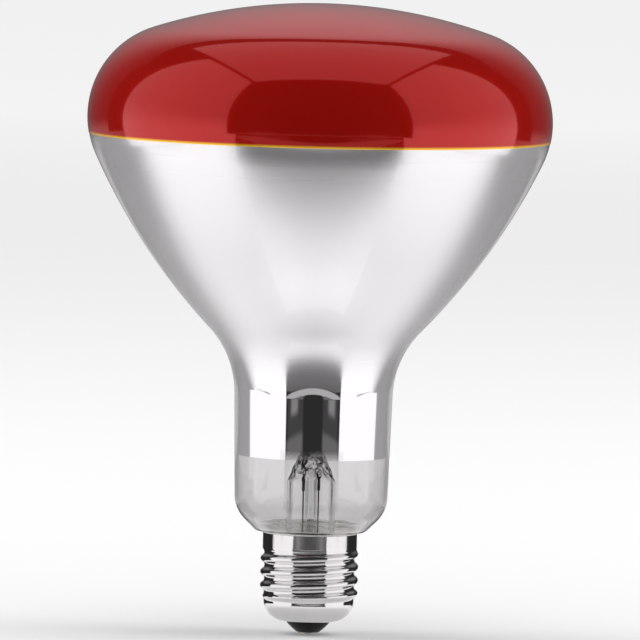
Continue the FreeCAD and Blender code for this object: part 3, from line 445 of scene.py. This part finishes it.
class Nodes:
    """A material's node tree, written as calls."""

    def __init__(self, name):
        self.material = bpy.data.materials.new(name)
        self.material.use_nodes = True
        self.tree = self.material.node_tree
        self.shader = self.tree.nodes["Principled BSDF"]

    def set(self, **sockets):
        for name, value in sockets.items():
            self.shader.inputs[name.replace("_", " ")].default_value = value
        return self

    def add(self, kind, inputs=None, **settings):
        node = self.tree.nodes.new(kind)
        for name, value in settings.items():
            setattr(node, name, value)
        for name, value in (inputs or {}).items():
            socket = node.inputs[name]
            if isinstance(value, bpy.types.NodeSocket):
                self.tree.links.new(value, socket)
            else:
                socket.default_value = value
        return node

    def link(self, output, name):
        self.tree.links.new(output, self.shader.inputs[name])

    def place(self):
        """Object coordinates, which are metres in the lamp's own frame."""
        return self.add("ShaderNodeTexCoord").outputs["Object"]

    def height(self):
        return self.add("ShaderNodeSeparateXYZ", {0: self.place()}).outputs["Z"]

    def sideways(self):
        """Distance from the plane through the axis that faces the camera's side."""
        across = self.add("ShaderNodeSeparateXYZ", {0: self.place()}).outputs["X"]
        return self.add("ShaderNodeMath", {0: across}, operation="ABSOLUTE").outputs[0]

    def noise(self, scale, stretch=(1, 1, 1), detail=2.0):
        inputs = {0: self.place(), 1: stretch}
        scaled = self.add("ShaderNodeVectorMath", inputs, operation="MULTIPLY").outputs[0]
        inputs = {"Vector": scaled, "Scale": scale, "Detail": detail}
        return self.add("ShaderNodeTexNoise", inputs).outputs["Fac"]

    def worked_out(self, operation, first, second):
        inputs = {0: first, 1: second}
        return self.add("ShaderNodeMath", inputs, operation=operation).outputs[0]

    def span(self, value, low, high, to_low, to_high):
        """The value carried from one range to another, and held at its ends."""
        inputs = {"Value": value, "From Min": low, "From Max": high}
        inputs.update({"To Min": to_low, "To Max": to_high})
        return self.add("ShaderNodeMapRange", inputs).outputs["Result"]

    def mix(self, share, first, second):
        node = self.add("ShaderNodeMix", data_type="RGBA")
        for name, value in (("Factor", share), ("A", first), ("B", second)):
            socket = next(i for i in node.inputs if i.name == name and i.enabled)
            if isinstance(value, bpy.types.NodeSocket):
                self.tree.links.new(value, socket)
            else:
                socket.default_value = value
        return next(o for o in node.outputs if o.enabled)

    def bump(self, height, distance):
        """Fine unevenness, its distance in metres."""
        inputs = {"Height": height, "Distance": distance, "Strength": 1.0}
        self.link(self.add("ShaderNodeBump", inputs).outputs["Normal"], "Normal")


# Where the materials change, by height or by distance from the axis, in millimetres
MILKY_START, MILKY_FULL = THROAT_FOOT + 2, THROAT_FOOT + 15
CLEARER_START = 104
FILM_FADE = 3
FILM_GAP, FILM_GAP_EDGE = 6, 8.5
AMBER_TOP, RED_START = RED_EDGE + 0.15, RED_EDGE + 0.8
WRINKLE_RISE = 3

# The clouds in metals and fired bodies: the noise they take in, and how dark they get
CLOUD = (0.3, 0.7)
METAL_SHADE = 0.86
FIRED_SHADE = 0.75
FIRED_SPREAD = (0.8, 1.2)


def clear_glass():
    glass = Nodes("clear_glass").set(
        Base_Color=(0.995, 0.998, 0.997, 1), Transmission_Weight=1.0, IOR=1.5, Roughness=0.0
    )
    glass.bump(glass.noise(60, (1, 1, 0.4)), 0.00004)
    return glass.material


def stem_glass():
    """Drawn smooth in the tube, and wrinkled where the press was pinched hot."""
    glass = Nodes("stem_glass").set(
        Base_Color=(0.99, 0.995, 0.992, 1), Transmission_Weight=1.0, IOR=1.42, Roughness=0.0
    )
    wrinkled = (PRESS_ROOT + WRINKLE_RISE) * MM
    pinched = glass.span(glass.height(), PRESS_ROOT * MM, wrinkled, 0.02, 1)
    creases = glass.noise(600, (1, 1, 0.6), detail=1)
    glass.bump(glass.worked_out("MULTIPLY", creases, pinched), 0.0005)
    return glass.material


def mirror_film():
    """Aluminium film: sharp in the neck, milky on the flank, and thin at its foot by the press."""
    film = Nodes("mirror_film").set(Metallic=1.0, Base_Color=(0.965, 0.965, 0.97, 1))
    height = film.height()
    milky = film.span(height, MILKY_START * MM, MILKY_FULL * MM, 0.012, 0.4)
    clearer = film.span(height, CLEARER_START * MM, MIRROR_TOP * MM, 0, 0.18)
    film.link(film.worked_out("SUBTRACT", milky, clearer), "Roughness")
    full = film.span(height, MIRROR_FOOT * MM, (MIRROR_FOOT + FILM_FADE) * MM, 0.15, 1)
    beside = film.span(film.sideways(), FILM_GAP * MM, FILM_GAP_EDGE * MM, 0, 1)
    film.link(film.worked_out("MAXIMUM", full, beside), "Alpha")
    film.bump(film.noise(22, (1, 1, 0.2), detail=1), 0.00002)
    return film.material


def red_glass():
    """Ruby stain: it colours what it mirrors, and thins to amber at its edge."""
    red = Nodes("red_glass").set(
        Roughness=0.12,
        Metallic=0.45,
        Specular_Tint=(1, 0.2, 0.2, 1),
        Coat_Weight=0.75,
        Coat_Roughness=0.02,
        Coat_IOR=1.5,
    )
    edge = red.span(red.height(), AMBER_TOP * MM, RED_START * MM, 0, 1)
    cloud = red.mix(red.noise(35), (0.43, 0.006, 0.003, 1), (0.47, 0.008, 0.005, 1))
    red.link(red.mix(edge, (1.0, 0.62, 0.03, 1), cloud), "Base Color")
    red.bump(red.noise(120), 0.00001)
    return red.material


def metal(name, color, roughness, spread, grain, stretch=(1, 1, 1), depth=0.00002):
    made = Nodes(name).set(Metallic=1.0)
    cloud = made.noise(grain, stretch, detail=5)
    made.link(made.span(cloud, *CLOUD, roughness, roughness + spread), "Roughness")
    dark = tuple(c * METAL_SHADE for c in color[:3]) + (1,)
    made.link(made.mix(cloud, dark, color), "Base Color")
    made.bump(made.noise(grain * 3, stretch, detail=3), depth)
    return made.material


def fired(name, color, roughness, grain, depth, shine=0.5):
    """Fused glass and cement, which have no grain of their own but are a little uneven."""
    made = Nodes(name).set(Specular_IOR_Level=shine)
    cloud = made.noise(grain, detail=5)
    dark = tuple(c * FIRED_SHADE for c in color[:3]) + (1,)
    made.link(made.mix(cloud, dark, color), "Base Color")
    low, high = (roughness * share for share in FIRED_SPREAD)
    made.link(made.span(cloud, *CLOUD, low, high), "Roughness")
    made.bump(made.noise(grain * 2, detail=4), depth)
    return made.material


MATERIALS = {
    "clear_glass": clear_glass(),
    "stem_glass": stem_glass(),
    "mirror_film": mirror_film(),
    "red_glass": red_glass(),
    "copper_clad_wire": metal("copper_clad_wire", (0.07, 0.062, 0.058, 1), 0.35, 0.2, 900),
    "nickel_wire": metal("nickel_wire", (0.5, 0.49, 0.46, 1), 0.2, 0.15, 900),
    "copper_wire": metal("copper_wire", (0.11, 0.09, 0.08, 1), 0.3, 0.15, 900),
    "tungsten": metal("tungsten", (0.2, 0.2, 0.21, 1), 0.35, 0.2, 2500),
    "support_wire": metal("support_wire", (0.4, 0.4, 0.42, 1), 0.3, 0.2, 900),
    "cap_metal": metal(
        "cap_metal", (0.88, 0.88, 0.87, 1), 0.05, 0.08, 260, (1, 1, 0.3), depth=0.00001
    ),
    "contact_metal": metal("contact_metal", (0.45, 0.43, 0.39, 1), 0.28, 0.2, 400),
    "solder": metal("solder", (0.55, 0.55, 0.54, 1), 0.25, 0.25, 300, depth=0.00008),
    "black_glass": fired("black_glass", (0.008, 0.011, 0.010, 1), 0.35, 200, 0.00004, 0.12),
    "cement": fired("cement", (0.94, 0.92, 0.88, 1), 0.85, 500, 0.0001),
}


def paint(piece, slot):
    if not piece.material_slots:
        piece.data.materials.append(None)
    piece.material_slots[0].material = MATERIALS[slot]


def dress(piece, slot, node):
    """A finer piece in place of a CAD node."""
    paint(piece, slot)
    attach(piece, "root")
    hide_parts(node)
    return piece


for part in frame["record"]["subparts"]:
    paint(nodes[part["node"]], part["material_slot"])

# The clear glass throws no shadow, since refracting shells would leave what is in them dark
envelope = turned("envelope_glass", glass_face(0), glass_face(GLASS_WALL))
dress(envelope, "clear_glass", "glass_envelope").visible_shadow = False
film_faces = mirror_face(GLASS_WALL + FACE_GAP), mirror_face(GLASS_WALL + SKIN)
dress(turned("silver_film", *film_faces), "mirror_film", "reflector_coating")
red_faces = red_face(-SKIN), red_face(-FACE_GAP)
dress(turned("red_skin", *red_faces), "red_glass", "red_filter_coating")
dress(stem_piece(), "stem_glass", "stem_tube").visible_shadow = False
nodes["exhaust_tube"].visible_shadow = False
dress(cap_piece(), "cap_metal", "cap_shell")


# Studio: a matt floor with a painted glow far off, a soft lamp on either side and one above.
# Mirrors and glass see instead a tent of soft white sheets round the bulb, open to a dark room at
# the front. Sizes are millimetres, angles are degrees round from the camera's side, and a level of
# 1 is white.
STUDIO_TINT = (1.0, 0.965, 0.985, 1)
PANEL_X = 392
PANEL_FRONT, PANEL_BACK = -405, 122
PANEL_FOOT, PANEL_SHOULDER, PANEL_TOP = -40, 400, 766
PANEL_LEVELS, PANEL_FADE = (1.07, 0.65), (80, 240)
CEILING_X = 372
CEILING_BACK = 410
CEILING_HEIGHT = 780
CEILING_LEVEL = 0.55
BACKDROP_X, BACKDROP_Y, BACKDROP_TOP = 700, 520, 740
BACKDROP_DARK, BACKDROP_LIGHT = 0.06, 0.54
BACKDROP_FOOT_LEVELS, BACKDROP_FOOT_SPREAD, BACKDROP_FOOT_FADE = (0.62, 0.34), (60, 500), (20, 110)
# A painted pool of light from above on the backdrop: its height and its spread
LIGHT_POOL_HEIGHT, LIGHT_POOL_SPREAD = 560, 230
TABLE_HEIGHT = -3
FRONT_SECTOR = 40.5
CAP_REACH = 45
TABLE_RINGS = (0, 8, 14, 21, 28, 36, CAP_REACH)
TABLE_MIDDLE, TABLE_REACH = 60, 900
TABLE_SIDE = 340
TABLE_OPENING = (58, 97)
# A painted soft shadow line at the foot of each side panel: its levels, its fade, and its rows of
# (y, z) corners
FOOT_SHADOW_LEVELS, FOOT_SHADOW_FADE = (0.3, 1.0), (-165, 40)
FOOT_SHADOW_LINE = (
    ((40, -16), (-60, -16), (-120, -14), (-165, -11)),
    ((40, -7.5), (-60, -7.5), (-120, -6.5), (-165, -6)),
)
# Levels of the table by distance: in front of the bulb, and behind it. The low levels nearest the
# axis are the bulb's painted shadow
NEAR_LEVELS = (
    (0, 0.55), (14, 0.58), (28, 0.68), (46, 1.08), (250, 1.12), (330, 1.07), (TABLE_REACH, 1.07),
)
BACK_LEVELS = (
    (0, 0.52), (90, 0.5), (170, 0.44), (260, 0.5), (380, 0.6), (TABLE_REACH, 0.62),
)
BACK_FADE = (0, 100)
BACK_SIDE_LEVEL, BACK_SIDE_FADE = 0.35, (60, 190)
# What the glossy table mirrors in front of the bulb, as if it lay under it: a shelf and the
# room's floor, and deeper down the light from above, as levels by distance. The bands in the
# room are a level, its angles or distances, and the softness of their ends.
SHELF_HEIGHT = -142
SHELF_NEAR, SHELF_FAR, SHELF_SLANT, SHELF_BEND = 600, 925, 0.55, 250
SHELF_REACH = 1400
SHELF_LEVEL = 0.42
SIDES_LEVEL, SIDES = 0.03, (15, 38, 4)
NEAR_SIDES_LEVEL, NEAR_SIDES, NEAR_SIDES_END = 0.08, (15, 40, 4), (1500, 1520)
PALE_LEVEL, PALE_SIDES, PALE_START = 0.17, (23, 33, 5), (1570, 1600)
FAR_FLOOR_LEVEL, FAR_FLOOR = 0.3, (1760, 1950, 50)
DEEP_HEIGHT, DEEP_SIDE, DEEP_FRONT, DEEP_BACK = -700, 2200, -2400, 300
DEEP_LEVELS = (
    (0, 1.55), (200, 1.5), (350, 1.1), (480, 0.64), (560, 0.46), (650, 0.3), (850, 0.21),
    (1050, 0.17), (2400, 0.12),
)
ROOM_RADIUS = 3000
ROOM_LEVEL = 0.025
ROOM_PALE_LEVEL, ROOM_PALE_SIDES, ROOM_PALE_HEIGHTS = 0.07, (22, 36, 4), (-900, 0, 300)
CARD_DISTANCE = 50
CARD_HEIGHT = 27
CARD_SIDES = (92, 152)
CARD_REACH = 62
# Floor and lamps, in metres and watts
FLOOR_RADIUS = 14.0
FLOOR_WHITE = 0.8
# The floor's painted glow, which only the eye sees: its level, and the distances where it starts
# and where it is full
FLOOR_PAINTED_GLOW, FLOOR_GLOW_START, FLOOR_GLOW_FULL = 0.33, 0.15, 3
FILL_LEVEL = 0.68
LAMP_SIZE = 1.0
LAMP_AIM = Vector((0, 0, 0.08))
LAMPS = (
    ("lamp_left", Vector((-1.5, 0.1, 0.6)), 15),
    ("lamp_right", Vector((1.5, 0.1, 0.6)), 15),
    ("lamp_above", Vector((0, 0.1, 1.6)), 5),
)


def lerp(first, second, share):
    return first + (second - first) * share


def window(value, low, high, soft):
    """1 inside a range and 0 outside it, with soft ends."""
    half = soft / 2
    return ramp(value, low - half, low + half) * (1 - ramp(value, high - half, high + half))


def level_at(levels, value):
    """The level at a value, on straight lines between the pairs of value and level."""
    for (low, first), (high, second) in zip(levels, levels[1:]):
        if value <= high:
            return lerp(first, second, (value - low) / (high - low))
    return levels[-1][1]


def away_from_camera(point):
    """Degrees round the lamp from the camera's side, 0 to 180."""
    return abs(math.degrees(math.atan2(point.x, -point.y)))


def panel_glow(point):
    """A side panel, brightest low down."""
    return lerp(*PANEL_LEVELS, ramp(point.z, *PANEL_FADE))


def ceiling_glow(point):
    return CEILING_LEVEL


def backdrop_glow(point):
    """A sheet with a painted pool of light from above in its middle, and light again at its foot.
    """
    middle = math.exp(-(point.x**2 + (point.z - LIGHT_POOL_HEIGHT) ** 2) / (2 * LIGHT_POOL_SPREAD**2))
    foot = lerp(*BACKDROP_FOOT_LEVELS, ramp(abs(point.x), *BACKDROP_FOOT_SPREAD))
    sheet = BACKDROP_DARK + BACKDROP_LIGHT * middle
    return lerp(foot, sheet, ramp(point.z, *BACKDROP_FOOT_FADE))


def table_glow(point):
    """Grey under the lamp, where its shadow is painted, and behind it; white to both sides."""
    distance = math.hypot(point.x, point.y)
    glow = level_at(NEAR_LEVELS, distance)
    aside = ramp(abs(point.x), *BACK_SIDE_FADE)
    back = lerp(level_at(BACK_LEVELS, distance), BACK_SIDE_LEVEL, aside)
    return lerp(glow, back, ramp(point.y, *BACK_FADE))


def open_table(point):
    """Where the table shows what it mirrors instead of its own white."""
    away = away_from_camera(point)
    if away <= FRONT_SECTOR:
        return math.hypot(point.x, point.y) > CAP_REACH
    return abs(point.x) > TABLE_SIDE and TABLE_OPENING[0] < away < TABLE_OPENING[1]


def shelf_depth(point):
    """Distance to the front, less and less towards both sides."""
    return -point.y - SHELF_SLANT * (math.hypot(point.x, SHELF_BEND) - SHELF_BEND)


def open_shelf(point):
    return shelf_depth(point) < SHELF_NEAR


def shelf_glow(point):
    """A grey shelf, the dark room past it with paler sides, and its far floor."""
    distance = math.hypot(point.x, point.y)
    away = away_from_camera(point)
    if shelf_depth(point) < SHELF_FAR and distance < SHELF_REACH:
        return SHELF_LEVEL
    sides = SIDES_LEVEL * window(away, *SIDES)
    near = NEAR_SIDES_LEVEL * window(away, *NEAR_SIDES) * (1 - ramp(distance, *NEAR_SIDES_END))
    pale = PALE_LEVEL * window(away, *PALE_SIDES) * ramp(distance, *PALE_START)
    return lerp(ROOM_LEVEL + sides + near + pale, FAR_FLOOR_LEVEL, window(distance, *FAR_FLOOR))


def foot_shadow_glow(point):
    """A painted soft shadow line at the foot of a side panel, darker towards the front."""
    return lerp(*FOOT_SHADOW_LEVELS, ramp(point.y, *FOOT_SHADOW_FADE))


def deep_glow(point):
    return level_at(DEEP_LEVELS, max(-point.y, 0))


def room_glow(point):
    """The dark room, with a paler thing standing in it on either side."""
    pale = window(away_from_camera(point), *ROOM_PALE_SIDES) * window(point.z, *ROOM_PALE_HEIGHTS)
    return lerp(ROOM_LEVEL, ROOM_PALE_LEVEL, pale)


def glowing(name, mesh, levels, reach, mirrored):
    """A stage piece that lights nothing matt and shows only in mirrors and through glass.

    With a reach it shows only that near. Where mirrored it shows only to rays that a mirror has
    turned, which are those with a glossy depth of 1 or more.
    """
    glow = mesh.attributes.new("glow", "FLOAT", "POINT")
    for point, level in zip(glow.data, levels):
        point.value = level
    piece = bpy.data.objects.new(name, mesh)
    bpy.context.scene.collection.objects.link(piece)
    paintwork = Nodes(name + "_light")
    paintwork.tree.nodes.remove(paintwork.shader)
    level = paintwork.add("ShaderNodeAttribute", attribute_name="glow").outputs["Fac"]
    light = paintwork.add("ShaderNodeEmission", {"Strength": level, "Color": STUDIO_TINT})
    if reach or mirrored:
        path = paintwork.add("ShaderNodeLightPath").outputs
        sides = (path["Ray Length"], reach * MM) if reach else (0.5, path["Glossy Depth"])
        hidden = paintwork.worked_out("GREATER_THAN", *sides)
        clear = paintwork.add("ShaderNodeBsdfTransparent").outputs[0]
        shaders = {0: hidden, 1: light.outputs[0], 2: clear}
        light = paintwork.add("ShaderNodeMixShader", shaders)
    output = paintwork.tree.nodes["Material Output"]
    paintwork.tree.links.new(light.outputs[0], output.inputs["Surface"])
    mesh.materials.append(paintwork.material)
    piece.visible_camera = False
    piece.visible_diffuse = False
    piece.visible_shadow = False
    return piece


def glowing_sheet(name, rows, glow, is_open=None, reach=0, mirrored=False):
    """A glowing stage piece of quads between rows of points, given in millimetres."""
    mesh = bpy.data.meshes.new(name)
    wide = len(rows[0])
    points = [point for row in rows for point in row]
    faces = []
    for r in range(len(rows) - 1):
        for i in range(wide - 1):
            corner = r * wide + i
            face = (corner, corner + 1, corner + wide + 1, corner + wide)
            middle = sum((points[k] for k in face), Vector()) / 4
            if not (is_open and is_open(middle)):
                faces.append(face)
    mesh.from_pydata([point * MM for point in points], [], faces)
    return glowing(name, mesh, [glow(point) for point in points], reach, mirrored)


def steps_between(first, last, count):
    return [lerp(first, last, i / count) for i in range(count + 1)]


def bearing(away, up=0):
    """Unit vector for degrees round from the camera and degrees up."""
    flat = heading(math.radians(away - 90)) * math.cos(math.radians(up))
    return Vector((flat.x, flat.y, math.sin(math.radians(up))))


def rings_of(distances, turns, height):
    """Rows of points round the lamp's axis, at one height."""
    down = Vector((0, 0, height))
    return [[bearing(away) * distance + down for away in turns] for distance in distances]


def studio_tent():
    lengths = steps_between(PANEL_FRONT, PANEL_BACK, 8)
    heights = [PANEL_FOOT] + steps_between(*PANEL_FADE, 8) + [PANEL_SHOULDER, PANEL_TOP]
    for name, x in (("panel_left", -PANEL_X), ("panel_right", PANEL_X)):
        glowing_sheet(name, [[Vector((x, y, z)) for y in lengths] for z in heights], panel_glow)
    ends = (PANEL_FRONT, CEILING_BACK)
    ceiling = [[Vector((x, y, CEILING_HEIGHT)) for y in ends] for x in (-CEILING_X, CEILING_X)]
    glowing_sheet("ceiling", ceiling, ceiling_glow)
    widths = steps_between(-BACKDROP_X, BACKDROP_X, 28)
    fade_foot, fade_top = BACKDROP_FOOT_FADE
    heights = [TABLE_HEIGHT, fade_foot] + steps_between(35, fade_top, 5)
    heights += steps_between(150, BACKDROP_TOP, 14)
    backdrop = [[Vector((x, BACKDROP_Y, z)) for x in widths] for z in heights]
    glowing_sheet("backdrop", backdrop, backdrop_glow)

    distances = list(TABLE_RINGS) + steps_between(TABLE_MIDDLE, TABLE_REACH, 40)
    table = rings_of(distances, steps_between(-180, 180, 240), TABLE_HEIGHT)
    glowing_sheet("table", table, table_glow, open_table)
    # Painted shadow lines at the feet of the side panels
    for name, x in (("foot_shadow_left", 1 - PANEL_X), ("foot_shadow_right", PANEL_X - 1)):
        line = [[Vector((x, y, z)) for y, z in row] for row in FOOT_SHADOW_LINE]
        glowing_sheet(name, line, foot_shadow_glow)
    # Rings are close where the levels change: along the shelf, at its end and on the far floor
    distances = steps_between(SHELF_NEAR, 1000, 40) + [1100, 1200, 1300]
    distances += [SHELF_REACH - 2, SHELF_REACH + 2] + steps_between(1410, 1960, 110) + [2400]
    shelf = rings_of(distances, steps_between(-FRONT_SECTOR, FRONT_SECTOR, 81), SHELF_HEIGHT)
    glowing_sheet("mirrored_shelf", shelf, shelf_glow, open_shelf, mirrored=True)
    depths = steps_between(DEEP_FRONT, DEEP_BACK, 54)
    deep = [[Vector((x, y, DEEP_HEIGHT)) for x in (-DEEP_SIDE, DEEP_SIDE)] for y in depths]
    glowing_sheet("deep_table", deep, deep_glow, mirrored=True)
    turns = range(-180, 181, 3)
    tilts = steps_between(-90, 90, 36)
    room = [[bearing(away, up) * ROOM_RADIUS for away in turns] for up in tilts]
    glowing_sheet("room", room, room_glow, mirrored=True)


def dark_cards():
    """Two low dark cards behind the cap, which draw the edges of its bright metal."""
    for name, side in (("card_left", -1), ("card_right", 1)):
        turns = steps_between(*CARD_SIDES, 8)
        flat = [bearing(side * away) * CARD_DISTANCE for away in turns]
        rows = [[way + Vector((0, 0, height)) for way in flat] for height in (0, CARD_HEIGHT)]
        card = glowing_sheet(name, rows, lambda point: ROOM_LEVEL, reach=CARD_REACH)
        card.visible_transmission = False


def plainly_seen(tree):
    """1 for the eye, for mirrors and through glass, and 0 for light that falls on matt things."""
    paths = tree.nodes.new("ShaderNodeLightPath")
    seen = paths.outputs["Is Camera Ray"]
    for name in ("Is Glossy Ray", "Is Transmission Ray"):
        either = tree.nodes.new("ShaderNodeMath")
        either.operation = "MAXIMUM"
        tree.links.new(seen, either.inputs[0])
        tree.links.new(paths.outputs[name], either.inputs[1])
        seen = either.outputs[0]
    return seen


def studio_floor():
    """A matt floor with a painted glow that grows with distance, so that it pales into the white
    behind it.
    """
    work = bmesh.new()
    bmesh.ops.create_circle(work, cap_ends=True, segments=96, radius=FLOOR_RADIUS)
    mesh = bpy.data.meshes.new("floor")
    work.to_mesh(mesh)
    work.free()
    floor = bpy.data.objects.new("floor", mesh)
    bpy.context.scene.collection.objects.link(floor)
    paper = Nodes("floor_paper").set(
        Base_Color=(FLOOR_WHITE, FLOOR_WHITE, FLOOR_WHITE, 1),
        Roughness=0.9,
        Specular_IOR_Level=0.0,
        Emission_Color=(1, 1, 1, 1),
    )
    seen = plainly_seen(paper.tree)
    length = paper.add("ShaderNodeVectorMath", {0: paper.place()}, operation="LENGTH")
    length = length.outputs["Value"]
    painted_glow = paper.span(length, FLOOR_GLOW_START, FLOOR_GLOW_FULL, 0, FLOOR_PAINTED_GLOW)
    paper.link(paper.worked_out("MULTIPLY", seen, painted_glow), "Emission Strength")
    mesh.materials.append(paper.material)
    floor.visible_glossy = False
    floor.visible_transmission = False


def soft_lamp(name, place, power):
    """A square lamp aimed at the bulb, which neither mirrors nor glass show."""
    data = bpy.data.lights.new(name, "AREA")
    data.shape = "SQUARE"
    data.size = LAMP_SIZE
    data.energy = power
    lamp = bpy.data.objects.new(name, data)
    lamp.location = place
    lamp.rotation_mode = "QUATERNION"
    lamp.rotation_quaternion = (LAMP_AIM - lamp.location).to_track_quat("-Z", "Y")
    lamp.visible_glossy = False
    lamp.visible_transmission = False
    lamp.visible_camera = False
    bpy.context.scene.collection.objects.link(lamp)


def studio_world():
    """White to the eye, to mirrors and through glass, and a plain fill for everything else."""
    world = bpy.data.worlds.new("studio_world")
    bpy.context.scene.world = world
    world.use_nodes = True
    tree = world.node_tree
    seen = plainly_seen(tree)
    level = tree.nodes.new("ShaderNodeMapRange")
    level.inputs["To Min"].default_value = FILL_LEVEL
    level.inputs["To Max"].default_value = 1.0
    tree.links.new(seen, level.inputs["Value"])
    tree.links.new(level.outputs["Result"], tree.nodes["Background"].inputs["Strength"])
    tree.nodes["Background"].inputs["Color"].default_value = (1, 1, 1, 1)


def make_camera():
    data = bpy.data.cameras.new("camera")
    data.lens = data.sensor_width * CAMERA_DISTANCE / (FRAME_PIXELS / PIXELS_PER_MM * MM)
    data.clip_start = CLIP_START
    data.clip_end = CLIP_END
    camera = bpy.data.objects.new("camera", data)
    back = Vector((0, -math.cos(CAMERA_ELEVATION), math.sin(CAMERA_ELEVATION)))
    camera.location = CAMERA_TARGET + back * CAMERA_DISTANCE
    roll = Matrix.Rotation(CAMERA_ROLL, 3, "Z")
    camera.rotation_euler = ((-back).to_track_quat("-Z", "Y").to_matrix() @ roll).to_euler()
    bpy.context.scene.collection.objects.link(camera)
    bpy.context.scene.camera = camera


studio_tent()
dark_cards()
studio_floor()
for lamp_name, lamp_place, lamp_power in LAMPS:
    soft_lamp(lamp_name, lamp_place, lamp_power)
studio_world()
make_camera()
bpy.context.scene.view_settings.view_transform = "Standard"
